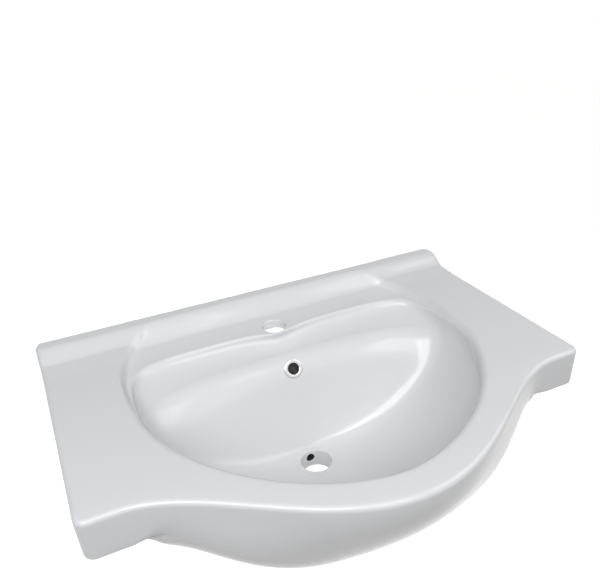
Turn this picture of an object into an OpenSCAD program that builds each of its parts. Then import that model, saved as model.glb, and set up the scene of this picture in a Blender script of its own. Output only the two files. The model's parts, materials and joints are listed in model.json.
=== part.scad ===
// Inset basin with a bowed front, a raised ledge along the wall and a tap platform.
// Lengths in mm. X is the width, +Y goes to the wall, +Z is up.
// The wall is the plane y = 0 and the decks lie on the plane z = 0.

/* [Outline] */
// Overall width of the basin
basin_w = 650; // [600:5:720]
// Depth of the straight sides from the wall to the flat front corners
side_depth = 358; // [350:1:368]
// How far the bowed front stands out beyond the flat corners
bow_depth = 124; // [112:1:132]
// Half of the width of the bowed part
bow_half_w = 284; // [278:1:290]
// Plan radius of the two front corners
front_corner_r = 13; // [11:0.5:18]
// Plan radius of the two corners at the wall
wall_corner_r = 11.6; // [8.6:0.2:12]
// Radius rolled along the whole top edge
edge_r = 6.5; // [4:0.5:7]

/* [Deck and apron] */
// Height of the deck above the underside of the apron
apron_h = 54; // [50:1:60]
// Thickness of the apron at its foot
apron_t = 12; // [9:0.5:14]
// Radius of the apron's lower edge
foot_r = 3; // [2:0.5:4]
// Depth of the underside of the decks below their top
deck_t = 22; // [20:0.5:25]
// Height of the ledge above the deck
ledge_h = 16.5; // [12:0.5:22]
// Depth of the ledge's flat top, measured from the wall
ledge_top_d = 20; // [16:1:24]
// Depth over which the ledge falls to its foot
ledge_fall_d = 32; // [28:1:36]
// Part of the ledge's height left at its foot, where the deck starts to rise
ledge_foot_part = 0.14; // [0.08:0.02:0.2]

/* [Bowl] */
// Distance of the waste's axis from the wall
bowl_y = 210; // [207:1:213]
// Half of the width of the opening at the deck
rim_half_w = 238; // [234:1:241]
// Reach of the opening from the waste's axis to the front
rim_front_d = 238; // [232:1:241]
// Reach of the opening from the waste's axis to the wall side
rim_back_d = 213; // [209:1:216]
// Drop from the deck to the tap platform
platform_drop = 10; // [8:0.5:11]
// Reach of the bowl from the waste's axis to the platform's edge
shelf_back_d = 126; // [123:1:129]
// How far the platform's edge swells forward round the tap hole
swell_d = 17; // [14:0.5:19]
// Half of the width of that swell
swell_half_w = 40; // [34:1:46]
// Depth of the bowl's floor below the deck
bowl_depth = 172; // [164:1:174]
// Depth of the cove under the platform's edge
cove_h = 22; // [20:0.5:24]
// Reach of that cove from the platform's edge into the bowl
cove_w = 30; // [26:1:33]
// Radius of the shallow recess round the waste hole
recess_r = 29; // [27:0.5:32]
// Depth of that recess
recess_d = 1; // [0.5:0.25:2]

/* [Belly] */
// Full depth of the belly below the deck
belly_h = 202; // [201:1:208]
// Half of the belly's width just under the deck
belly_half_w = 240; // [238:1:244]
// Distance of the belly's own axis from the wall, just under the deck
belly_mid_y = 178; // [174:1:182]
// Reach of the belly's front from its own axis
belly_front_d = 255; // [250:1:262]
// Distance of the belly's back from the wall, just under the deck
belly_back_y = 86; // [84:0.5:88]
// Depth over which the bowed front skin turns into the belly
skin_h = 180; // [165:1:190]
// Radius of the flat boss under the waste hole
boss_r = 54; // [53:1:57]

/* [Holes] */
// Radius of the tap hole
tap_r = 17.5; // [15:0.5:18]
// Distance of the tap hole's axis from the wall
tap_y = 81; // [79:0.5:82.5]
// Radius of the waste hole
waste_r = 22.5; // [20:0.5:24]
// Radius of the overflow's duct inside the ceramic
duct_r = 6; // [5:0.5:6.5]

/* [Overflow] */
// Share of the way from the cove to the floor at which the overflow sits
overflow_share = 0.25; // [0.23:0.01:0.28]
// Radius of the bright ring's flange
ring_flange_r = 14; // [13:0.5:16]
// Thickness of the flange
ring_flange_t = 2; // [1.5:0.25:3]
// Radius of the ring's open bore
ring_bore_r = 8.5; // [7:0.25:9]
// Outer radius of the ring's barrel
ring_barrel_r = 9.6; // [9.5:0.1:10.5]
// Length of the barrel behind the flange
ring_barrel_l = 16; // [13:1:18]
// Outer radius of the rubber sleeve
sleeve_r = 11.5; // [11.2:0.1:12]
// Length of the rubber sleeve
sleeve_l = 12; // [9:0.5:12.5]
// Clearance between ring, sleeve and ceramic
fit_gap = 0.2; // [0.1:0.05:0.3]

/* [Hidden] */
half_w = basin_w / 2;
deck_z = 0;
foot_z = -apron_h;
// Insets of the top face inside the outline
in_x = half_w - edge_r;
in_y = edge_r;
in_c = wall_corner_r - edge_r;
// Row where the ledge's rise has died out
foot_y = 86;
// Numbers of steps along each run of the outline
n_side = 6;
n_corner = 4;
n_wing = 9;
n_bow = 24;
// Half of the width of the evenly stepped part of the bow
bow_in = 0.75 * bow_half_w;

// Smooth step from 0 to 1
function sm(t) = let(u = min(1, max(0, t))) u * u * (3 - 2 * u);
function mix(a, b, t) = a + (b - a) * t;
function rev(v) = [for (i = [len(v) - 1 : -1 : 0]) v[i]];
function unit(v) = v / norm(v);
// n values from a towards b, b itself left out
function run(a, b, n) = [for (i = [0 : n - 1]) mix(a, b, i / n)];
// Cubic curve through a and d
function bez(a, b, c, d, t) = let(s = 1 - t)
    a * pow(s, 3) + 3 * b * t * s * s + 3 * c * t * t * s + d * pow(t, 3);
// Reach of a rounded oblong of half sizes a and b in the direction (c, s)
function selip(c, s, a, b, n) = pow(pow(abs(c / a), n) + pow(abs(s / b), n), -1 / n);

// Front of the outline over x, and its slope
function bow(x) = pow(1 - min(1, pow(abs(x) / bow_half_w, 2)), 2);
function front_y(x) = -side_depth - bow_depth * bow(x);
function front_slope(x) = front_y(x + 0.5) - front_y(x - 0.5);

// Share of the ledge's height at depth d from the wall
function ledge_step(d) = 1 - sm((d - ledge_top_d) / ledge_fall_d);
function ledge_foot(d) = 1 - sm((d - ledge_top_d - 20) / (foot_y - ledge_top_d - 20));
function ledge(d) = mix(ledge_step(d), ledge_foot(d), ledge_foot_part);

// Opening at the deck, by direction from the waste's axis
rim_back_n = 3.5;
rim_front_n = 1.76;
function rim(p) = sin(p) > 0 ? selip(cos(p), sin(p), rim_half_w, rim_back_d, rim_back_n)
    : selip(cos(p), sin(p), rim_half_w, rim_front_d, rim_front_n);
// Edge of the bowl: a rolled lip at the front, and at the back the platform's edge,
// which swells forward round the tap hole
lip_r = platform_drop;
function shelf_flat(p) = selip(cos(p), sin(p), rim_half_w - lip_r, shelf_back_d, 6);
function swell(x) = swell_d * exp(-pow(x / swell_half_w, 2));
function shelf(p) = let(r = rim(p) - lip_r, b = shelf_flat(p))
    sin(p) > 0 ? min(r, b - swell(b * cos(p))) : r;

// Height of deck and platform by distance in from the opening, ledge left out
function step_w(p) = max(3, min(11, 0.8 * (rim(p) - shelf(p))));
function w_rim(p) = sm((sin(p) + 0.02) / 0.25);
function roll_z(n) = -lip_r + sqrt(max(0, lip_r * lip_r - pow(min(lip_r, max(0, n)), 2)));
function base_z(r, p) = let(n = rim(p) - r)
    mix(roll_z(n), -platform_drop * sm(n / step_w(p)), w_rim(p));
// Height of the top at a point outside the bowl, ledge included
function top_z(x, y) = let(b = base_z(norm([x, y + bowl_y]), atan2(y + bowl_y, x)))
    mix(b, ledge_h, ledge(-y));

// Outline of the top edge: plan point and outward normal, from the left side round to the right
side_end = side_depth - front_corner_r;
function side_pts(s) = [for (y = run(foot_y, side_end, n_side)) [s * half_w, -y, s, 0]];
function corner_pt(s, a) = [s * (half_w - front_corner_r * (1 - cos(a))),
    -side_end - front_corner_r * sin(a), s * cos(a), -sin(a)];
function corner_pts(s) = [for (i = [0 : n_corner]) corner_pt(s, 90 * i / n_corner)];
function wing_at(i) = mix(half_w - front_corner_r, bow_in, pow(i / n_wing, 0.8));
WING = [for (i = [1 : n_wing]) wing_at(i)];
BOW = [for (i = [1 : n_bow - 1]) bow_in * (2 * i / n_bow - 1)];
function front_pt(x) = let(n = unit([front_slope(x), -1])) [x, front_y(x), n[0], n[1]];
FRONT = concat(side_pts(-1), corner_pts(-1), [for (x = WING) front_pt(-x)],
    [for (x = BOW) front_pt(x)], [for (x = rev(WING)) front_pt(x)], rev(corner_pts(1)),
    rev(side_pts(1)));
NF = len(FRONT);

// Columns of the strip that carries the ledge, from left to right, closest at the step to the deck
XC = concat([in_x], run(in_x - in_c, rim_half_w + 14, 3), run(rim_half_w + 14, rim_half_w - 48, 11),
    run(rim_half_w - 48, 1.5 * swell_half_w, 5), run(1.5 * swell_half_w, 0, 3));
XS = concat([for (x = XC) -x], [0], rev(XC));
NM = len(XS);
ledge_end_d = ledge_top_d + ledge_fall_d;
YR = concat(run(foot_y, ledge_end_d, 4), run(ledge_end_d, ledge_top_d, 6),
    [ledge_top_d, in_y + in_c, in_y]);
NI = len(YR) - 1;

// Loop round the bowl: the front run, then the strip's first row back from right to left
BACK = [for (m = [NM - 2 : -1 : 1]) [XS[m], -foot_y]];
LOOP = concat([for (q = FRONT) [q[0] - edge_r * q[2], q[1] - edge_r * q[3]]], BACK);
NC = len(LOOP);
RB = [for (q = LOOP) norm([q[0], q[1] + bowl_y])];
PH = [for (q = LOOP) atan2(q[1] + bowl_y, q[0])];

// Rings 1 to 6 run from the opening to the bowl's edge
function step_at(k, R, E, st) = k == 1 ? R : k == 2 ? R - 0.3 * st : k == 3 ? R - 0.7 * st
    : k == 4 ? R - st : k == 5 ? (R - st + E) / 2 : E;
function lip_at(k, p) = let(R = rim(p))
    mix(R - lip_r * sin(18 * (k - 1)), step_at(k, R, shelf(p), step_w(p)), w_rim(p));
// Below the edge each ring is one level of the bowl. Depth and reach follow the back wall:
// a rolled edge, a cove, and a slope that carries the overflow and steepens to the floor.
KR = 8;
KW = 12;
KF = 24;
KT = KF + 2;
roll_r = 7;
roll_end = 68;
cove_end = 50;
edge_in = roll_r * sin(roll_end);
edge_fall = roll_r * (1 - cos(roll_end));
wall_b = shelf_back_d - edge_in - cove_w;
wall_z = platform_drop + cove_h;
floor_r = recess_r + 5;
floor_z = bowl_depth - 0.5;
// Reach and depth of the back wall from the cove to the floor, by share of the way
function wall_at(t) = [bez(wall_b, 0.51 * wall_b, 0.56 * wall_b, floor_r, t),
    bez(wall_z, wall_z + 2, floor_z - 41, floor_z, t)];
function roll_a(k) = roll_end * (k - 6) / (KR - 6);
function cove_a(k) = cove_end * (k - KR) / (KW - KR);
function back_in(k) = k <= KR ? roll_r * sin(roll_a(k))
    : edge_in + cove_w * (1 - cos(cove_a(k))) / (1 - cos(cove_end));
function cove_z(k) = edge_fall + (cove_h - edge_fall) * sin(cove_a(k)) / sin(cove_end);
function level_z(k) = k <= KR ? platform_drop + roll_r * (1 - cos(roll_a(k)))
    : k <= KW ? platform_drop + cove_z(k) : wall_at((k - KW) / (KF - KW))[1];
function level_b(k) = k <= KW ? shelf_back_d - back_in(k) : wall_at((k - KW) / (KF - KW))[0];
// Reach to the sides and to the front at the same level
function depth_share(k) = (level_z(k) - platform_drop) / (floor_z - platform_drop);
function side_reach(k, reach, e, q) =
    mix(floor_r, reach - lip_r, pow(max(0, 1 - pow(depth_share(k), e)), q));
function level_a(k) = side_reach(k, rim_half_w, 1.6, 0.58);
function level_f(k) = side_reach(k, rim_front_d, 2.2, 0.52);
// How square the back of each level is, and where the cove under the platform fades out
function square(k) = 2 + 4 * exp(-(level_z(k) - platform_drop) / 18);
function w_back(p) = sm((sin(p) - 0.1) / 0.35);
function under_edge(k, p) = lip_at(6, p) - w_back(p) * back_in(min(k, KW));
function level_r(k, p) = let(v = k < KW ? (k - 6) / (KW - 6) : 1)
    sin(p) > 0 ? mix(under_edge(k, p), selip(cos(p), sin(p), level_a(k), level_b(k), square(k)), v)
    : mix(under_edge(k, p), selip(cos(p), sin(p), level_a(k), level_f(k), mix(1.8, 2, v)), v);
function ring_r(k, j) = let(p = PH[j], B = RB[j], E = lip_at(6, p))
    k <= 5 ? min(lip_at(k, p), B - (B - E) * k / 6) : k == 6 ? E : k <= KF ? level_r(k, p)
    : k == KF + 1 ? recess_r + 1.5 : recess_r;
function ring_z(k, j) = k <= 6 ? base_z(ring_r(k, j), PH[j]) : k <= KF ? -level_z(k)
    : k == KF + 1 ? -bowl_depth - recess_d * 0.4 : -bowl_depth - recess_d;
function at(r, p, z) = [r * cos(p), -bowl_y + r * sin(p), deck_z + z];

V_TOP = concat([for (q = LOOP) [q[0], q[1], deck_z + top_z(q[0], q[1])]],
    [for (k = [1 : KT]) for (j = [0 : NC - 1]) at(ring_r(k, j), PH[j], ring_z(k, j))],
    [at(0, 0, -bowl_depth - recess_d)]);
N_TOP = (KT + 1) * NC;
// Strip rows above the first one; the two corner columns are drawn in along the wall
function drawn_in(i, m) = i == NI && (m == 0 || m == NM - 1) ? in_c * (1 - sqrt(0.5)) : 0;
function strip_pt(i, m) = let(k = drawn_in(i, m), u = XS[m] - sign(XS[m]) * k, v = -YR[i] - k)
    [u, v, deck_z + top_z(u, v)];
V_STRIP = [for (i = [1 : NI]) for (m = [0 : NM - 1]) strip_pt(i, m)];
function sid(i, m) = i > 0 ? N_TOP + 1 + (i - 1) * NM + m : m == 0 ? 0 : m == NM - 1 ? NF - 1 : NC - m;

// Closed run round the whole top face: vertex, outer plan point and normal
h2 = sqrt(0.5);
wall_in = wall_corner_r * (1 - h2);
EDGE = concat([for (j = [0 : NF - 1]) [j, [FRONT[j][0], FRONT[j][1]], [FRONT[j][2], FRONT[j][3]]]],
    [for (i = [1 : NI - 1]) [sid(i, NM - 1), [half_w, -YR[i]], [1, 0]]],
    [[sid(NI, NM - 1), [half_w - wall_in, -wall_in], [h2, h2]]],
    [for (m = [NM - 2 : -1 : 1]) [sid(NI, m), [XS[m], 0], [0, 1]]],
    [[sid(NI, 0), [-half_w + wall_in, -wall_in], [-h2, h2]]],
    [for (i = [NI - 1 : -1 : 1]) [sid(i, 0), [-half_w, -YR[i]], [-1, 0]]]);
NP = len(EDGE);
V_ALL = concat(V_TOP, V_STRIP);
EZ = [for (e = EDGE) V_ALL[e[0]][2]];

// Outer skin of the belly by direction from its axis and by share t of its depth
under_t = deck_t / belly_h;
skin_t = 70 / belly_h;
function belly_y(t) = mix(belly_mid_y, bowl_y, sm(t));
// The back runs in under the cove first and then leans in to the boss
cove_lean = 26;
wall_lean = 46;
function back_fall(t) = let(u = max(0, t - under_t))
    cove_lean * min(1, u / 0.12) + wall_lean * pow(u / (1 - under_t), 1.5);
function belly_a(t) = belly_half_w * pow(1 - pow(t, 1.88), 1 / 1.59);
function belly_f(t) = belly_front_d * pow(1 - pow(t, 1.3), 1 / 4.08);
function belly_b(t) = (belly_y(t) - belly_back_y - back_fall(t)) * sqrt(1 - pow(t, 12));
function belly_square(t) = 2.2 + 4 * exp(-(belly_h * t - deck_t) / 30);
function belly_r(p, t) = norm([boss_r * pow(t, 5), sin(p) > 0
    ? selip(cos(p), sin(p), belly_a(t), belly_b(t), belly_square(t))
    : selip(cos(p), sin(p), belly_a(t), belly_f(t), mix(5, 3.4, t))]);
function belly_pt(p, t) = t >= 0.999 ? at(boss_r, p, -belly_h)
    : let(r = belly_r(p, t)) [r * cos(p), -belly_y(t) + r * sin(p), deck_z - belly_h * t];
BP = [for (e = EDGE) atan2(e[1][1] + belly_y(0.2), e[1][0])];
// 1 where the front skin falls straight from the rolled edge, 0 beside the pocket; the pocket
// itself closes sooner
function front_w(e, x) = e[1][1] < -side_depth + 1 ? sm((x - abs(e[1][0])) / 46) : 0;
FW = [for (e = EDGE) front_w(e, bow_half_w - 4)];
PW = [for (e = EDGE) front_w(e, bow_half_w + 26)];
// Belly drawn out to the outline by the weight v, less and less with depth
function body_pt(i, t, v) = let(s = belly_pt(BP[i], t), q = EDGE[i][1])
    mix(s, [q[0], q[1], s[2]], v * (1 - sm((belly_h * t - edge_r) / (skin_h - edge_r))));
function skin_pt(i, z) = body_pt(i, z / belly_h, 1);
function drop(i, in, z) = let(q = EDGE[i][1] - in * EDGE[i][2]) [q[0], q[1], foot_z + z];
function roll_pt(i, a) = let(q = EDGE[i][1] - EDGE[i][2] * edge_r * (1 - sin(a)))
    [q[0], q[1], EZ[i] - edge_r * (1 - cos(a))];
function edge_pt(k, i) = let(w = FW[i], v = PW[i], z = deck_t + 3 + 9 * (k - 4))
    k <= 3 ? roll_pt(i, 30 * k)
    : k == 4 ? mix(drop(i, 0, foot_r), skin_pt(i, z), w)
    : k == 5 ? mix(drop(i, 0.3 * foot_r, 0.3 * foot_r), skin_pt(i, z), w)
    : k == 6 ? mix(drop(i, foot_r, 0), skin_pt(i, z), w)
    : k == 7 ? mix(drop(i, apron_t, 0), skin_pt(i, z), w)
    : k == 8 ? mix(drop(i, apron_t + 1, apron_h - deck_t), skin_pt(i, z), v)
    : body_pt(i, mix(mix(under_t, skin_t, v), 1, 1 - pow(1 - (k - 9) / NB, 1.5)), v);
NB = 11;
KE = 9 + NB;
V_EDGE = [for (k = [1 : KE]) for (i = [0 : NP - 1]) edge_pt(k, i)];
N_EDGE = len(V_ALL);
V_BODY = concat(V_ALL, V_EDGE, [at(0, 0, -belly_h)]);
function eid(k, i) = k == 0 ? EDGE[i % NP][0] : N_EDGE + (k - 1) * NP + i % NP;

// Two triangles for the four corners a, b, c, d in order
function quad(a, b, c, d) = [[a, b, c], [a, c, d]];
function ring_quad(k, j) = let(n = (j + 1) % NC)
    quad(k * NC + j, (k + 1) * NC + j, (k + 1) * NC + n, k * NC + n);
function strip_quad(i, m) = quad(sid(i, m), sid(i + 1, m), sid(i + 1, m + 1), sid(i, m + 1));
function edge_quad(k, i) = quad(eid(k, i), eid(k, i + 1), eid(k + 1, i + 1), eid(k + 1, i));
F_TOP = concat([for (k = [0 : KT - 1]) for (j = [0 : NC - 1]) for (t = ring_quad(k, j)) t],
    [for (j = [0 : NC - 1]) [KT * NC + j, N_TOP, KT * NC + (j + 1) % NC]]);
F_STRIP = [for (i = [0 : NI - 1]) for (m = [0 : NM - 2]) for (t = strip_quad(i, m)) t];
F_EDGE = concat([for (k = [0 : KE - 1]) for (i = [0 : NP - 1]) for (t = edge_quad(k, i)) t],
    [for (i = [0 : NP - 1]) [eid(KE, i), eid(KE, i + 1), len(V_BODY) - 1]]);

// Place of the overflow on the bowl's back wall, and the angle of its axis above the level
over = wall_at(overflow_share);
over_run = wall_at(overflow_share + 0.02) - wall_at(overflow_share - 0.02);
overflow_y = bowl_y - over[0];
overflow_z = deck_z - over[1];
overflow_tilt = atan(-over_run[0] / over_run[1]);
seat_in = 0.8;
module at_overflow() {
    translate([0, -overflow_y, overflow_z]) rotate([90 - overflow_tilt, 0, 0])
        translate([0, 0, -seat_in]) children();
}
// Ends of the overflow's duct, from behind the ring down and then forward into the waste hole
duct_in = ring_barrel_l - 2;
duct_a = [-overflow_y + duct_in * cos(overflow_tilt), overflow_z - duct_in * sin(overflow_tilt)];
duct_b = [-bowl_y + boss_r - 10, deck_z - bowl_depth - recess_d - duct_r - 5];
duct_run = duct_b - duct_a;

module ceramic_basin() {
    color("white") difference() {
        polyhedron(points = V_BODY, faces = concat(F_TOP, F_STRIP, F_EDGE), convexity = 10);
        translate([0, -tap_y, deck_z - deck_t - 20]) cylinder(r = tap_r, h = deck_t + 30, $fn = 96);
        translate([0, -bowl_y, deck_z - belly_h - 10])
            cylinder(r = waste_r, h = belly_h - bowl_depth + 20, $fn = 96);
        at_overflow() translate([0, 0, -ring_barrel_l - 2])
            cylinder(r = sleeve_r + fit_gap, h = ring_barrel_l + 12, $fn = 72);
        at_overflow() cylinder(r = ring_flange_r + fit_gap, h = 10, $fn = 72);
        translate([0, duct_a[0], duct_a[1]]) rotate([-atan2(duct_run[0], duct_run[1]), 0, 0])
            cylinder(r = duct_r, h = norm(duct_run), $fn = 48);
        translate([0, duct_b[0] + 2, duct_b[1] - 1]) rotate([90, 0, 0])
            cylinder(r = duct_r + 0.5, h = boss_r - 10, $fn = 48);
    }
}

// Half of the ring's section: an open barrel with a bevelled flange
RING = [[ring_bore_r, -ring_barrel_l], [ring_barrel_r, -ring_barrel_l], [ring_barrel_r, 0],
    [ring_flange_r, 0], [ring_flange_r, ring_flange_t * 0.5], [ring_flange_r - 1, ring_flange_t],
    [ring_bore_r, ring_flange_t]];

module overflow_ring() {
    color("silver") at_overflow() translate([0, 0, fit_gap]) rotate_extrude($fn = 72) polygon(RING);
}

module overflow_sleeve() {
    color("dimgray") at_overflow() translate([0, 0, -ring_barrel_l]) difference() {
        cylinder(r = sleeve_r, h = sleeve_l, $fn = 72);
        translate([0, 0, -1]) cylinder(r = ring_barrel_r + fit_gap, h = sleeve_l + 2, $fn = 72);
    }
}

ceramic_basin();
overflow_ring();
overflow_sleeve();
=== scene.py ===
import json
import math

import bmesh
import bpy
import numpy as np
from mathutils import Matrix, Vector

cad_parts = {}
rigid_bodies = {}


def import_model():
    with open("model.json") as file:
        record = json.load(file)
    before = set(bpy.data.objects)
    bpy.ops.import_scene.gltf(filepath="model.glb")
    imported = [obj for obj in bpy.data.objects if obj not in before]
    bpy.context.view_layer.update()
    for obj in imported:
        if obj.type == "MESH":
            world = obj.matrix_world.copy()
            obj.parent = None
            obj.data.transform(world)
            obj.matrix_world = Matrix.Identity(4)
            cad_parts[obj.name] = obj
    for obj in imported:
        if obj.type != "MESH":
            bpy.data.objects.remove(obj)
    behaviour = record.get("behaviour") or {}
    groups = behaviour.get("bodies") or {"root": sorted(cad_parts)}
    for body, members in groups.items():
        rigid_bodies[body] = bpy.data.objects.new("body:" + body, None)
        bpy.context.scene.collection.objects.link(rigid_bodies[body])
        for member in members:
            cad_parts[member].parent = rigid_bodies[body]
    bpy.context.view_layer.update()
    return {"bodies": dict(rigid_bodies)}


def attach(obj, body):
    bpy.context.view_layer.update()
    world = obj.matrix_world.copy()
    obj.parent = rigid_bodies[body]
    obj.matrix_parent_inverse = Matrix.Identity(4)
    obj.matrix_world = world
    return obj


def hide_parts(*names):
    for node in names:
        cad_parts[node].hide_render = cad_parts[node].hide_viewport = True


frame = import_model()
BODY = sorted(frame["bodies"])[0]
MM = 0.001

# Camera
# The lower view of the photograph, whose principal point lies off the middle of the frame.
FRAME_W, FRAME_H = 600, 574
TARGET = np.array([0.0, -219.3, 18.0])
DISTANCE, AZIMUTH, ELEVATION, ROLL = 801.9, 24.46, 32.22, -2.81
FOCAL_PX, CENTRE_PX = 619.6, (313.9, 353.4)


def make_camera():
    a, e, r = (math.radians(v) for v in (AZIMUTH, ELEVATION, ROLL))
    ahead = np.array([math.sin(a) * math.cos(e), math.cos(a) * math.cos(e), -math.sin(e)])
    right = np.array([math.cos(a), -math.sin(a), 0.0])
    up = np.cross(right, ahead)
    right, up = math.cos(r) * right + math.sin(r) * up, math.cos(r) * up - math.sin(r) * right
    place = (TARGET - DISTANCE * ahead) * MM
    data = bpy.data.cameras.new("camera")
    data.sensor_width = 36
    data.lens = 36 * FOCAL_PX / FRAME_W
    data.shift_x = (FRAME_W / 2 - CENTRE_PX[0]) / FRAME_W
    data.shift_y = (CENTRE_PX[1] - FRAME_H / 2) / FRAME_W
    cam = bpy.data.objects.new("camera", data)
    bpy.context.scene.collection.objects.link(cam)
    m = Matrix.Identity(4)
    for col, v in enumerate((right, up, -ahead, place)):
        for row in range(3):
            m[row][col] = v[row]
    cam.matrix_world = m
    bpy.context.scene.camera = cam


make_camera()

# Sizes in mm, as in the part's source
HALF_W, SIDE_D, BOW_D, BOW_HW = 325.0, 358.0, 124.0, 284.0
CORNER_R, WALL_R, EDGE_R = 13.0, 11.6, 6.5
APRON_H, APRON_T, FOOT_R, DECK_T = 54.0, 12.0, 3.0, 22.0
LEDGE_H, LEDGE_TOP, LEDGE_FALL, FOOT_PART, FOOT_Y = 16.5, 20.0, 32.0, 0.14, 86.0
BOWL_Y, RIM_HW, RIM_F, RIM_B = 210.0, 238.0, 238.0, 213.0
DROP, SHELF_B, SWELL_D, SWELL_HW = 10.0, 126.0, 17.0, 40.0
DEPTH, COVE_H, COVE_W, RECESS_R, RECESS_D = 172.0, 22.0, 30.0, 29.0, 1.0
BELLY_H, BELLY_HW, BELLY_MID, BELLY_F, BELLY_BACK = 202.0, 240.0, 178.0, 255.0, 86.0
SKIN_H, SHOULDER, BOSS_R, COVE_LEAN, WALL_LEAN = 180.0, 70.0, 54.0, 26.0, 46.0
TAP_R, TAP_Y, WASTE_R, DUCT_R = 17.5, 81.0, 22.5, 6.0
OVER_SHARE, SEAT_IN = 0.25, 0.8
RING_FR, RING_FT, RING_BORE, RING_BR, RING_BL = 14.0, 2.0, 8.5, 9.6, 16.0
SLEEVE_R, SLEEVE_L, FIT = 11.5, 12.0, 0.2
LIP = DROP
TAP_FLARE, WASTE_FLARE, MARGIN = 1.6, 2.0, 20.0


def sm(t):
    """Smooth step from 0 to 1."""
    u = np.clip(t, 0, 1)
    return u * u * (3 - 2 * u)


def mix(a, b, t):
    return a + (b - a) * t


def bez(a, b, c, d, t):
    return a * (1 - t) ** 3 + 3 * b * t * (1 - t) ** 2 + 3 * c * t * t * (1 - t) + d * t ** 3


def selip(c, s, a, b, n):
    """Reach of a rounded oblong of half sizes a and b in the direction (c, s)."""
    return (np.abs(c / a) ** n + np.abs(s / b) ** n) ** (-1 / n)


def front_y(x):
    return -SIDE_D - BOW_D * (1 - np.minimum(1, (np.abs(x) / BOW_HW) ** 2)) ** 2


def ledge(d):
    step = 1 - sm((d - LEDGE_TOP) / LEDGE_FALL)
    foot = 1 - sm((d - LEDGE_TOP - 20) / (FOOT_Y - LEDGE_TOP - 20))
    return mix(step, foot, FOOT_PART)


def rim(p):
    """Opening at the deck, by direction from the waste's axis."""
    c, s = np.cos(p), np.sin(p)
    return np.where(s > 0, selip(c, s, RIM_HW, RIM_B, 3.5), selip(c, s, RIM_HW, RIM_F, 1.76))


def shelf(p):
    """Edge of the bowl: the rolled lip in front, the platform's edge with its swell at the back."""
    c, s = np.cos(p), np.sin(p)
    flat = selip(c, s, RIM_HW - LIP, SHELF_B, 6)
    swell = SWELL_D * np.exp(-(flat * c / SWELL_HW) ** 2)
    return np.where(s > 0, np.minimum(rim(p) - LIP, flat - swell), rim(p) - LIP)


def step_w(p):
    return np.clip(0.8 * (rim(p) - shelf(p)), 3, 11)


def w_rim(p):
    return sm((np.sin(p) + 0.02) / 0.25)


def base_z(r, p):
    n = rim(p) - r
    roll = -LIP + np.sqrt(np.maximum(0, LIP ** 2 - np.clip(n, 0, LIP) ** 2))
    return mix(roll, -DROP * sm(n / step_w(p)), w_rim(p))


def top_z(x, y):
    b = base_z(np.hypot(x, y + BOWL_Y), np.arctan2(y + BOWL_Y, x))
    return mix(b, LEDGE_H, ledge(-y))


ROLL_R, ROLL_END, COVE_END = 7.0, math.radians(68), math.radians(50)
KR, KW, KF = 8, 12, 24
EDGE_IN = ROLL_R * math.sin(ROLL_END)
EDGE_FALL = ROLL_R * (1 - math.cos(ROLL_END))
WALL_B, WALL_Z = SHELF_B - EDGE_IN - COVE_W, DROP + COVE_H
FLOOR_R, FLOOR_Z = RECESS_R + 5, DEPTH - 0.5


def wall_at(t):
    """Reach and depth of the back wall from the cove to the floor, by share of the way."""
    return (bez(WALL_B, 0.51 * WALL_B, 0.56 * WALL_B, FLOOR_R, t),
            bez(WALL_Z, WALL_Z + 2, FLOOR_Z - 41, FLOOR_Z, t))


def back_in(k):
    if k <= KR:
        return ROLL_R * math.sin(ROLL_END * (k - 6) / (KR - 6))
    return EDGE_IN + COVE_W * (1 - math.cos(COVE_END * (k - KR) / (KW - KR))) / (1 - math.cos(COVE_END))


def level_z(k):
    if k <= KR:
        return DROP + ROLL_R * (1 - math.cos(ROLL_END * (k - 6) / (KR - 6)))
    if k <= KW:
        rise = math.sin(COVE_END * (k - KR) / (KW - KR)) / math.sin(COVE_END)
        return DROP + EDGE_FALL + (COVE_H - EDGE_FALL) * rise
    return wall_at((k - KW) / (KF - KW))[1]


def level_b(k):
    return SHELF_B - back_in(k) if k <= KW else wall_at((k - KW) / (KF - KW))[0]


def side_reach(k, reach, e, q):
    share = (level_z(k) - DROP) / (FLOOR_Z - DROP)
    return mix(FLOOR_R, reach - LIP, max(0.0, 1 - share ** e) ** q)


def lip_at(k, p):
    """Rings 1 to 6 from the opening to the bowl's edge."""
    R, E, st = rim(p), shelf(p), step_w(p)
    stops = np.stack([R, R - 0.3 * st, R - 0.7 * st, R - st, (R - st + E) / 2, E])
    i = min(4, int(k - 1))
    return mix(R - LIP * np.sin(np.radians(18 * (k - 1))), mix(stops[i], stops[i + 1], k - 1 - i), w_rim(p))


def level_r(k, p):
    """Reach of the bowl by direction, on the level with number k."""
    v = (k - 6) / (KW - 6) if k < KW else 1
    c, s = np.cos(p), np.sin(p)
    a, f = side_reach(k, RIM_HW, 1.6, 0.58), side_reach(k, RIM_F, 2.2, 0.52)
    edge = lip_at(6, p) - sm((s - 0.1) / 0.35) * back_in(min(k, KW))
    square = 2 + 4 * math.exp(-(level_z(k) - DROP) / 18)
    back = mix(edge, selip(c, s, a, level_b(k), square), v)
    front = mix(edge, selip(c, s, a, f, mix(1.8, 2, v)), v)
    return np.where(s > 0, back, front)


def spaced(*runs):
    """Points from runs of (start, end, count), each end left to the next run but the last."""
    out = []
    for a, b, n in runs:
        out += list(np.linspace(a, b, n, endpoint=False))
    return out + [runs[-1][1]]


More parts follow.
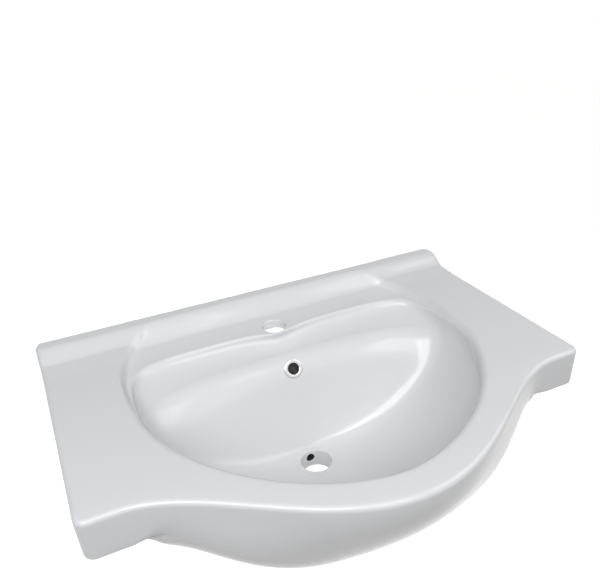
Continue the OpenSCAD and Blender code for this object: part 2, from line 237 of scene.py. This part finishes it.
def outline():
    """Plan points and outward normals of the front run, from the left side round to the right."""
    end = SIDE_D - CORNER_R
    side = [(-HALF_W, -y, -1.0, 0.0) for y in np.linspace(FOOT_Y, end, 46)[:-1]]
    corner = [(-(HALF_W - CORNER_R * (1 - math.cos(a))), -end - CORNER_R * math.sin(a),
               -math.cos(a), -math.sin(a)) for a in np.linspace(0, math.pi / 2, 11)]
    xs = -np.array(spaced((HALF_W - CORNER_R, BOW_HW, 10), (BOW_HW, 0, 84)))[1:]
    slope = front_y(xs + 0.5) - front_y(xs - 0.5)
    ln = np.hypot(slope, 1)
    half = side + corner + list(zip(xs, front_y(xs), slope / ln, -1 / ln))
    return np.array(half + [(-x, y, -nx, ny) for x, y, nx, ny in reversed(half[:-1])])


def belly_y(t):
    return mix(BELLY_MID, BOWL_Y, sm(t))


def belly_pts(p, t):
    """Outer skin of the belly by direction from its own axis and by share t of its depth."""
    t = np.clip(t, 0, 1)
    c, s = np.cos(p), np.sin(p)
    u = np.maximum(0, t - DECK_T / BELLY_H)
    fall = COVE_LEAN * np.minimum(1, u / 0.12) + WALL_LEAN * (u / (1 - DECK_T / BELLY_H)) ** 1.5
    a = BELLY_HW * (1 - t ** 1.88) ** (1 / 1.59)
    f = BELLY_F * (1 - t ** 1.3) ** (1 / 4.08)
    b = (belly_y(t) - BELLY_BACK - fall) * np.sqrt(1 - t ** 12)
    a, f, b = (np.maximum(v, 1e-3) for v in (a, f, b))
    square = 2.2 + 4 * np.exp(-(BELLY_H * t - DECK_T) / 30)
    back, front = selip(c, s, a, b, square), selip(c, s, a, f, mix(5, 3.4, t))
    r = np.hypot(np.where(s > 0, back, front), BOSS_R * t ** 5)
    return np.stack([r * c, -belly_y(t) + r * s, -BELLY_H * t + 0 * r], 1)


def closed_quads(rows):
    """Quads between successive closed rows of vertex numbers."""
    quads = []
    for a, b in zip(rows[:-1], rows[1:]):
        n = len(a)
        quads += [(a[j], b[j], b[(j + 1) % n], a[(j + 1) % n]) for j in range(n)]
    return quads


class Rows:
    """Vertices and faces gathered row by row."""

    def __init__(self):
        self.verts, self.faces, self.count = [], [], 0

    def add(self, x, y, z):
        n = len(x)
        self.verts.append(np.column_stack([x, y, z + 0 * x]))
        self.count += n
        return np.arange(self.count - n, self.count)


def bowl_rings(m, loop):
    """Top face from the loop in to the waste, by ring."""
    RB = np.hypot(loop[:, 0], loop[:, 1] + BOWL_Y)
    PH = np.arctan2(loop[:, 1] + BOWL_Y, loop[:, 0])
    rows = [m.add(loop[:, 0], loop[:, 1], top_z(loop[:, 0], loop[:, 1]))]
    E = lip_at(6, PH)
    rings = []
    for k in spaced((1 / 3, 1, 2), (1, 4, 15), (4, 6, 6), (6, KR, 9), (KR, KW, 18), (KW, KF, 60)):
        if k <= 6:
            line = RB - (RB - E) * k / 6
            first = mix(RB, np.minimum(rim(PH), RB - (RB - E) / 6), k)
            r = np.minimum(lip_at(k, PH), line) if k >= 1 else first
            rings.append((r, base_z(r, PH)))
        else:
            rings.append((level_r(k, PH), -level_z(k)))
    for u in np.linspace(0, 1, 9)[1:]:
        rings.append((mix(FLOOR_R, RECESS_R, u) + 0 * PH, -mix(FLOOR_Z, DEPTH + RECESS_D, sm(u))))
    rings += [(r + 0 * PH, -DEPTH - RECESS_D) for r in (25.0, 12.0)]
    for r, z in rings:
        rows.append(m.add(r * np.cos(PH), -BOWL_Y + r * np.sin(PH), z))
    m.faces += closed_quads(rows)
    mid = m.add(np.array([0.0]), np.array([-BOWL_Y]), -DEPTH - RECESS_D)[0]
    n = len(loop)
    m.faces += [(rows[-1][j], mid, rows[-1][(j + 1) % n]) for j in range(n)]
    return n


def ledge_strip(m, xs, ys, first):
    """Rows of the strip along the wall; the two corner columns are drawn in at the last row."""
    rows = [np.array(first)]
    k = (WALL_R - EDGE_R) * (1 - math.sqrt(0.5))
    for y in ys[1:]:
        px, py = xs.copy(), -y + 0 * xs
        if y == ys[-1]:
            px[[0, -1]] += (k, -k)
            py[[0, -1]] -= k
        rows.append(m.add(px, py, top_z(px, py)))
    for a, b in zip(rows[:-1], rows[1:]):
        m.faces += [(a[j], b[j], b[j + 1], a[j + 1]) for j in range(len(xs) - 1)]
    return rows


def basin_mesh():
    FR = outline()
    nf = len(FR)
    xc = spaced((HALF_W - EDGE_R, RIM_HW + 14, 14), (RIM_HW + 14, 180, 40), (180, 0, 50))
    XS = np.array([-x for x in xc] + list(reversed(xc[:-1])))
    nm = len(XS)
    YR = np.array(spaced((FOOT_Y, LEDGE_TOP, 40), (LEDGE_TOP, WALL_R, 5), (WALL_R, EDGE_R, 1)))
    ni = len(YR) - 1
    m = Rows()
    back = XS[nm - 2:0:-1]
    inner = FR[:, :2] - EDGE_R * FR[:, 2:]
    nc = bowl_rings(m, np.concatenate([inner, np.stack([back, -FOOT_Y + 0 * back], 1)]))
    strip = ledge_strip(m, XS, YR, [0] + [nc - i for i in range(1, nm - 1)] + [nf - 1])
    h2 = math.sqrt(0.5)
    c = WALL_R * (1 - h2)
    run = [(j, *FR[j]) for j in range(nf)]
    run += [(strip[i][-1], HALF_W, -YR[i], 1.0, 0.0) for i in range(1, ni)]
    run += [(strip[ni][-1], HALF_W - c, -c, h2, h2)]
    run += [(strip[ni][i], XS[i], 0.0, 0.0, 1.0) for i in range(nm - 2, 0, -1)]
    run += [(strip[ni][0], -HALF_W + c, -c, -h2, h2)]
    run += [(strip[i][0], -HALF_W, -YR[i], -1.0, 0.0) for i in range(ni - 1, 0, -1)]
    ids = np.array([r[0] for r in run])
    Q, N = np.array([r[1:3] for r in run]), np.array([r[3:5] for r in run])
    EZ = np.concatenate(m.verts)[ids, 2]
    BP = np.arctan2(Q[:, 1] + belly_y(0.2), Q[:, 0])
    front = Q[:, 1] < -SIDE_D + 1
    FW = np.where(front, sm((BOW_HW - 4 - np.abs(Q[:, 0])) / 46), 0)[:, None]
    PW = np.where(front, sm((BOW_HW + 26 - np.abs(Q[:, 0])) / 46), 0)[:, None]
    skin_t, under_t = SHOULDER / BELLY_H, DECK_T / BELLY_H

    def body(t, v):
        s = belly_pts(BP, t + 0 * BP)
        w = (v * (1 - sm((BELLY_H * t - EDGE_R) / (SKIN_H - EDGE_R))) + 0 * BP)[:, None]
        return mix(s, np.column_stack([Q, s[:, 2]]), w)

    def skin(z):
        return body(z / BELLY_H, 1.0)

    def drop(inn, z):
        return np.column_stack([Q - inn * N, np.full(len(Q), z - APRON_H)])

    pts = []
    for a in np.radians(np.linspace(0, 90, 10)[1:]):
        pts.append(np.column_stack([Q - N * EDGE_R * (1 - math.sin(a)), EZ - EDGE_R * (1 - math.cos(a))]))
    low = pts[-1][:, 2]
    for s in np.linspace(0, 1, 9)[1:]:
        apron = np.column_stack([Q, mix(low, FOOT_R - APRON_H, s)])
        fall = skin(mix(EDGE_R, DECK_T + 3, s))
        fall[:, 2] = mix(low, -DECK_T - 3, s)
        pts.append(mix(apron, fall, FW))
    for s in np.linspace(0, 1, 8)[1:]:
        a = s * math.pi / 2
        foot = drop(FOOT_R * (1 - math.cos(a)), FOOT_R * (1 - math.sin(a)))
        pts.append(mix(foot, skin(DECK_T + 3 + 18 * s), FW))
    for s in np.linspace(0, 1, 5)[1:]:
        pts.append(mix(drop(mix(FOOT_R, APRON_T, s), 0), skin(DECK_T + 21 + 9 * s), FW))
    p7, p8 = pts[-1], mix(drop(APRON_T + 1, APRON_H - DECK_T), skin(DECK_T + 39), PW)
    t0 = mix(under_t, skin_t, PW[:, 0])
    p9 = body(t0, PW[:, 0])
    pts += [mix(p7, p8, s) for s in np.linspace(0, 1, 6)[1:]]
    pts += [mix(p8, p9, s) for s in np.linspace(0, 1, 6)[1:]]
    for s in np.linspace(0, 1, 56)[1:-1]:
        pts.append(body(mix(t0, 1, 1 - (1 - s) ** 1.5), PW[:, 0]))
    for r in (BOSS_R, 30.0):
        pts.append(np.column_stack([r * np.cos(BP), -BOWL_Y + r * np.sin(BP), np.full(len(BP), -BELLY_H)]))
    rows = [ids] + [m.add(*q.T) for q in pts]
    m.faces += [q[::-1] for q in closed_quads(rows)]
    mid = m.add(np.array([0.0]), np.array([-BOWL_Y]), -BELLY_H)[0]
    npt = len(ids)
    m.faces += [(rows[-1][i], rows[-1][(i + 1) % npt], mid) for i in range(npt)]
    return np.concatenate(m.verts), [tuple(int(v) for v in f) for f in m.faces]


def make_object(name, verts, faces):
    me = bpy.data.meshes.new(name)
    me.from_pydata([tuple(float(c) * MM for c in v) for v in verts], [], faces)
    me.validate()
    me.update()
    ob = bpy.data.objects.new(name, me)
    bpy.context.scene.collection.objects.link(ob)
    return ob


def lathe(profile, n=96, closed=True):
    """A form turned round local Z from (radius, height) points; ends of radius 0 make a solid."""
    verts, faces, rows = [], [], []
    for r, z in profile:
        if r < 1e-9:
            rows.append([len(verts)] * n)
            verts.append((0, 0, z))
        else:
            rows.append(list(range(len(verts), len(verts) + n)))
            turns = [2 * math.pi * i / n for i in range(n)]
            verts += [(r * math.cos(a), r * math.sin(a), z) for a in turns]
    pairs = list(zip(rows, rows[1:] + rows[:1])) if closed else list(zip(rows[:-1], rows[1:]))
    for a, b in pairs:
        for i in range(n):
            j = (i + 1) % n
            f = []
            for v in (a[i], a[j], b[j], b[i]):
                if v not in f:
                    f.append(v)
            if len(f) > 2:
                faces.append(tuple(f))
    return verts, faces


def placed(verts, at, tilt):
    """Points turned about X by the tilt, so that local Z looks out of the wall, and moved, all in mm."""
    c, s = math.cos(tilt), math.sin(tilt)
    return [(x, y * c - z * s + at[1], y * s + z * c + at[2]) for x, y, z in verts]


def solid(name, profile, at, tilt=0.0, n=96, closed=False):
    v, f = lathe(profile, n, closed)
    ob = make_object(name, placed(v, at, tilt), f)
    bm = bmesh.new()
    bm.from_mesh(ob.data)
    bmesh.ops.recalc_face_normals(bm, faces=bm.faces)
    bm.to_mesh(ob.data)
    bm.free()
    return ob


def hole_profile(r, bottom, top, flare):
    """A pin with a rounded flare where it leaves the surface at height 0."""
    turns = np.linspace(0, math.pi / 2, 9)
    edge = [(r + flare * (1 - math.cos(a)), -flare + flare * math.sin(a)) for a in turns]
    return [(0, bottom), (r, bottom)] + edge + [(r + flare, top), (0, top)]


def pin_profile(r, length):
    return [(0, 0), (r, 0), (r, length), (0, length)]


def cut(ob, tool):
    m = ob.modifiers.new("cut", "BOOLEAN")
    m.operation, m.object, m.solver = "DIFFERENCE", tool, "MANIFOLD"
    dg = bpy.context.evaluated_depsgraph_get()
    me = bpy.data.meshes.new_from_object(ob.evaluated_get(dg))
    ob.modifiers.remove(m)
    old = ob.data
    ob.data = me
    bpy.data.meshes.remove(old)
    bpy.data.objects.remove(tool)


v, f = basin_mesh()
basin = make_object("basin", v, f)
bm = bmesh.new()
bm.from_mesh(basin.data)
bmesh.ops.remove_doubles(bm, verts=bm.verts, dist=1e-6)
bmesh.ops.recalc_face_normals(bm, faces=bm.faces)
bm.to_mesh(basin.data)
bm.free()

over = wall_at(OVER_SHARE)
ahead, behind = wall_at(OVER_SHARE + 0.02), wall_at(OVER_SHARE - 0.02)
OVER_UP = math.atan2(behind[0] - ahead[0], ahead[1] - behind[1])
TILT = math.pi / 2 - OVER_UP
OVER_Y, OVER_Z = BOWL_Y - over[0], over[1]
cut(basin, solid("tool", hole_profile(TAP_R, -DECK_T, MARGIN, TAP_FLARE), (0, -TAP_Y, -DROP)))
waste_pin = hole_profile(WASTE_R, -2 * MARGIN, MARGIN, WASTE_FLARE)
cut(basin, solid("tool", waste_pin, (0, -BOWL_Y, -DEPTH - RECESS_D)))
BORE, SEAT, BORE_L = SLEEVE_R + FIT, RING_FR + FIT, RING_BL + 2
SEAT_AT = (0, -OVER_Y + SEAT_IN * math.cos(OVER_UP), -OVER_Z - SEAT_IN * math.sin(OVER_UP))
stepped = [(0, -BORE_L), (BORE, -BORE_L), (BORE, 0), (SEAT, 0), (SEAT, 10), (0, 10)]
cut(basin, solid("tool", stepped, SEAT_AT, TILT))

# The overflow's duct: down behind the ring, then forward into the wall of the waste hole
DUCT_A = (-OVER_Y + (RING_BL - 2) * math.cos(OVER_UP), -OVER_Z - (RING_BL - 2) * math.sin(OVER_UP))
DUCT_B = (-BOWL_Y + BOSS_R - 10, -DEPTH - RECESS_D - DUCT_R - 5)
run_y, run_z = DUCT_B[0] - DUCT_A[0], DUCT_B[1] - DUCT_A[1]
LONG, PORT_R = math.hypot(run_y, run_z), DUCT_R + 0.5
cut(basin, solid("tool", pin_profile(DUCT_R, LONG), (0, *DUCT_A), math.atan2(-run_y, run_z), 48))
PORT_AT = (0, DUCT_B[0] + 2, DUCT_B[1] - 1)
cut(basin, solid("tool", pin_profile(PORT_R, BOSS_R - 10), PORT_AT, math.pi / 2, 48))


def finish_mesh(ob, angle):
    for p in ob.data.polygons:
        p.use_smooth = True
    ob.data.set_sharp_from_angle(angle=math.radians(angle))


def arc(r, z, radius, start, end, n=7):
    """Points of a rounded edge in a lathe profile, by centre, radius and angles in degrees."""
    turns = [math.radians(a) for a in np.linspace(start, end, n)]
    return [(r + radius * math.cos(a), z + radius * math.sin(a)) for a in turns]


finish_mesh(basin, 50)
MOUTH_R, RIM_R, RIB_IN = 1, 1.6, 0.4
half_ring = [(RING_BORE, -RING_BL)] + arc(RING_BORE + MOUTH_R, RING_FT - MOUTH_R, MOUTH_R, 180, 90)
half_ring += arc(RING_FR - RIM_R, RING_FT - RIM_R, RIM_R, 90, 0)
half_ring += [(RING_FR, 0), (RING_BR, 0), (RING_BR, -RING_BL)]
ring = solid("ring", half_ring, SEAT_AT, TILT, 96, True)
finish_mesh(ring, 40)
ribs = ((4 * k + z, inset) for k in range(3) for z, inset in ((0, RIB_IN), (1, 0), (3, 0)))
half_sleeve = [(RING_BR + FIT, -RING_BL)] + [(SLEEVE_R - inset, z - RING_BL) for z, inset in ribs]
half_sleeve += [(SLEEVE_R - RIB_IN, SLEEVE_L - RING_BL), (RING_BR + FIT, SLEEVE_L - RING_BL)]
sleeve = solid("sleeve", half_sleeve, SEAT_AT, TILT, 96, True)
finish_mesh(sleeve, 40)

# Materials


def in_pin(at, start, way, radius, low, high):
    """Which points lie in a pin of that radius, from low to high along the unit vector way, all in mm."""
    rel = at - np.array(start)
    along = rel @ way
    off = np.linalg.norm(rel - along[:, None] * way, axis=1)
    return (off < radius + 0.3) & (along > low) & (along < high)


def mark_faces(ob):
    """Face values: bare on the unglazed foot, base and back; painted shade, a near-black colour, in the
    overflow's bore and duct.
    """
    me = ob.data
    n = len(me.polygons)
    at, up = np.empty(3 * n), np.empty(3 * n)
    me.polygons.foreach_get("center", at)
    me.polygons.foreach_get("normal", up)
    at, up = at.reshape(n, 3) / MM, up.reshape(n, 3)
    foot = (up[:, 2] < -0.95) & (np.abs(at[:, 2] + APRON_H) < 0.3)
    boss = np.hypot(at[:, 0], at[:, 1] + BOWL_Y) < BOSS_R
    base = (up[:, 2] < -0.95) & (at[:, 2] < 0.3 - BELLY_H) & boss
    back = (up[:, 1] > 0.95) & (at[:, 1] > -0.3)
    inward = np.array([0, math.cos(OVER_UP), -math.sin(OVER_UP)])
    # The overflow's bore, duct and port get painted shade: a near-black colour standing in for the shade
    # deep in the duct.
    duct_shade_faces = in_pin(at, SEAT_AT, inward, BORE, 1, BORE_L + 0.3)
    duct_shade_faces |= in_pin(at, (0, *DUCT_A), np.array([0, run_y, run_z]) / LONG, DUCT_R, 0, LONG + 1)
    duct_shade_faces |= in_pin(at, (0, -BOWL_Y, PORT_AT[2]), np.array([0, 1, 0]), PORT_R, WASTE_R + 1, BOSS_R - 7)
    for name, which in (("bare", foot | base | back), ("inside", duct_shade_faces)):
        field = me.attributes.new(name, "FLOAT", "FACE")
        field.data.foreach_set("value", which.astype(np.float32))


def new_material(name):
    m = bpy.data.materials.new(name)
    m.use_nodes = True
    nt = m.node_tree
    return m, nt, nt.nodes["Principled BSDF"]


def noise(nt, scale, detail=2.0):
    """Soft cloud over the piece, in its own coordinates."""
    where = nt.nodes.new("ShaderNodeTexCoord")
    n = nt.nodes.new("ShaderNodeTexNoise")
    n.inputs["Scale"].default_value, n.inputs["Detail"].default_value = scale, detail
    nt.links.new(where.outputs["Object"], n.inputs["Vector"])
    return n.outputs[0]


def blend(nt, share, a, b):
    """Mix of two colours or values; each is a number, a colour or a socket."""
    n = nt.nodes.new("ShaderNodeMix")
    n.data_type = "RGBA"
    nt.links.new(share, n.inputs["Factor"])
    for socket, v in ((n.inputs[6], a), (n.inputs[7], b)):
        if isinstance(v, bpy.types.NodeSocket):
            nt.links.new(v, socket)
        else:
            socket.default_value = (*v, 1) if isinstance(v, tuple) else (v, v, v, 1)
    return n.outputs[2]


def face_value(nt, name):
    n = nt.nodes.new("ShaderNodeAttribute")
    n.attribute_name = name
    return n.outputs["Fac"]


def bump(nt, b, height, strength, depth):
    n = nt.nodes.new("ShaderNodeBump")
    n.inputs["Strength"].default_value, n.inputs["Distance"].default_value = strength, depth
    nt.links.new(height, n.inputs["Height"])
    nt.links.new(n.outputs[0], b.inputs["Normal"])


def glaze_material():
    """White glaze with a faint cloud and a fine ripple; bare clay where the basin rests or is out of sight;
    painted shade, near black, in the overflow's bore and duct.
    """
    m, nt, b = new_material("glaze")
    white = blend(nt, noise(nt, 7.0, 3.0), (0.77, 0.783, 0.803), (0.80, 0.807, 0.815))
    clay = blend(nt, noise(nt, 260.0, 4.0), (0.60, 0.565, 0.50), (0.74, 0.715, 0.66))
    colour = blend(nt, face_value(nt, "bare"), white, clay)
    # Painted shade: the overflow's bore and duct are coloured near black, for the shade that falls deep in
    # the duct.
    nt.links.new(blend(nt, face_value(nt, "inside"), colour, (0.05, 0.047, 0.043)), b.inputs["Base Color"])
    smooth = blend(nt, noise(nt, 22.0, 2.0), 0.08, 0.13)
    rough = blend(nt, face_value(nt, "bare"), smooth, 0.85)
    nt.links.new(blend(nt, face_value(nt, "inside"), rough, 0.6), b.inputs["Roughness"])
    b.inputs["IOR"].default_value = 1.5
    bump(nt, b, noise(nt, 45.0, 2.0), 0.12, 0.0006)
    return m


def chrome_material():
    """Polished chrome with faint water marks."""
    m, nt, b = new_material("chrome")
    marks = blend(nt, noise(nt, 350.0, 3.0), (0.70, 0.71, 0.72), (0.80, 0.80, 0.80))
    nt.links.new(marks, b.inputs["Base Color"])
    b.inputs["Metallic"].default_value = 1
    nt.links.new(blend(nt, noise(nt, 500.0, 3.0), 0.05, 0.16), b.inputs["Roughness"])
    return m


def rubber_material():
    """Matt black rubber with a dusty bloom."""
    m, nt, b = new_material("rubber")
    bloom = blend(nt, noise(nt, 400.0, 4.0), (0.014, 0.014, 0.014), (0.035, 0.034, 0.033))
    nt.links.new(bloom, b.inputs["Base Color"])
    nt.links.new(blend(nt, noise(nt, 900.0, 2.0), 0.6, 0.85), b.inputs["Roughness"])
    bump(nt, b, noise(nt, 1500.0, 3.0), 0.3, 0.0001)
    return m


def dress(ob, mat):
    ob.data.materials.clear()
    ob.data.materials.append(mat)


mark_faces(basin)
PIECES = ((basin, "ceramic_basin", "glaze", glaze_material()),
          (ring, "overflow_ring", "ring", chrome_material()),
          (sleeve, "overflow_sleeve", "sleeve", rubber_material()))
for ob, node, slot, material in PIECES:
    dress(ob, material)
    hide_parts(node)
    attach(ob, BODY)

# Floor, light and background
FLOOR_AT, FLOOR_HALF, FLOOR_STEPS, FLOOR_GLOW = -0.85, 6.0, 24, 0.95
SKY_LOW, SKY_HIGH = 0.115, 0.14
MIDDLE = (0, -0.25, -0.05)
# Name, place, point looked at, size, power and colour of each lamp
LAMPS = (("key", (-0.9, -1.2, 1.2), MIDDLE, (1.1, 1.1), 18, (0.98, 0.99, 1.0)),
         ("front", (0.0, -1.5, 1.3), MIDDLE, (1.1, 1.1), 8.3, (1, 1, 1)),
         ("right", (1.2, -0.7, 1.0), MIDDLE, (1.1, 1.1), 6.2, (1, 1, 1)),
         ("strip", (0.35, -1.0, 1.5), MIDDLE, (0.015, 1.0), 0.4, (1, 1, 1)),
         ("behind", (0.2, 1.1, -0.4), (0, -0.15, -0.1), (1.2, 0.7), 14, (1, 1, 1)))


def seen_by_eye(nt):
    """1 for camera, glossy and transmission rays, 0 for the light that falls on the object."""
    path = nt.nodes.new("ShaderNodeLightPath")
    last = path.outputs["Is Camera Ray"]
    for name in ("Is Glossy Ray", "Is Transmission Ray"):
        either = nt.nodes.new("ShaderNodeMath")
        either.operation = "MAXIMUM"
        nt.links.new(last, either.inputs[0])
        nt.links.new(path.outputs[name], either.inputs[1])
        last = either.outputs[0]
    return last


def ranged(nt, value, low, high):
    n = nt.nodes.new("ShaderNodeMapRange")
    n.inputs["To Min"].default_value, n.inputs["To Max"].default_value = low, high
    nt.links.new(value, n.inputs["Value"])
    return n.outputs[0]


def floor():
    """A plain floor that shows white with the object's shadow on it."""
    n = FLOOR_STEPS
    ts = np.linspace(-FLOOR_HALF, FLOOR_HALF, n + 1)
    vs = [(x / MM, y / MM, FLOOR_AT / MM) for y in ts for x in ts]
    first = [j * (n + 1) + i for j in range(n) for i in range(n)]
    fs = [(k, k + 1, k + n + 2, k + n + 1) for k in first]
    ob = make_object("floor", vs, fs)
    m, nt, b = new_material("floor")
    b.inputs["Base Color"].default_value = (0.36, 0.345, 0.33, 1)
    b.inputs["Roughness"].default_value = 0.9
    b.inputs["Specular IOR Level"].default_value = 0.0
    b.inputs["Emission Color"].default_value = (1, 1, 1, 1)
    nt.links.new(ranged(nt, seen_by_eye(nt), 0.0, FLOOR_GLOW), b.inputs["Emission Strength"])
    dress(ob, m)


def area(name, at, look, size, power, colour):
    d = bpy.data.lights.new(name, "AREA")
    d.shape, d.size, d.size_y, d.energy, d.color = "RECTANGLE", size[0], size[1], power, colour
    ob = bpy.data.objects.new(name, d)
    bpy.context.scene.collection.objects.link(ob)
    ob.location = at
    ob.visible_camera = False
    ob.rotation_euler = (Vector(look) - Vector(at)).to_track_quat("-Z", "Y").to_euler()


def world():
    """White to the eye; a weaker sky lights the object, brighter overhead than at the horizon."""
    w = bpy.data.worlds.new("world")
    bpy.context.scene.world = w
    w.use_nodes = True
    nt = w.node_tree
    bg = nt.nodes["Background"]
    bg.inputs["Color"].default_value = (1, 1, 1, 1)
    where = nt.nodes.new("ShaderNodeTexCoord")
    split = nt.nodes.new("ShaderNodeSeparateXYZ")
    nt.links.new(where.outputs["Generated"], split.inputs[0])
    sky = ranged(nt, split.outputs["Z"], SKY_LOW, SKY_HIGH)
    both = nt.nodes.new("ShaderNodeMix")
    both.data_type = "FLOAT"
    nt.links.new(seen_by_eye(nt), both.inputs["Factor"])
    nt.links.new(sky, both.inputs["A"])
    both.inputs["B"].default_value = 1.0
    nt.links.new(both.outputs["Result"], bg.inputs["Strength"])


floor()
world()
for lamp in LAMPS:
    area(*lamp)

scene = bpy.context.scene
scene.view_settings.view_transform = "Standard"
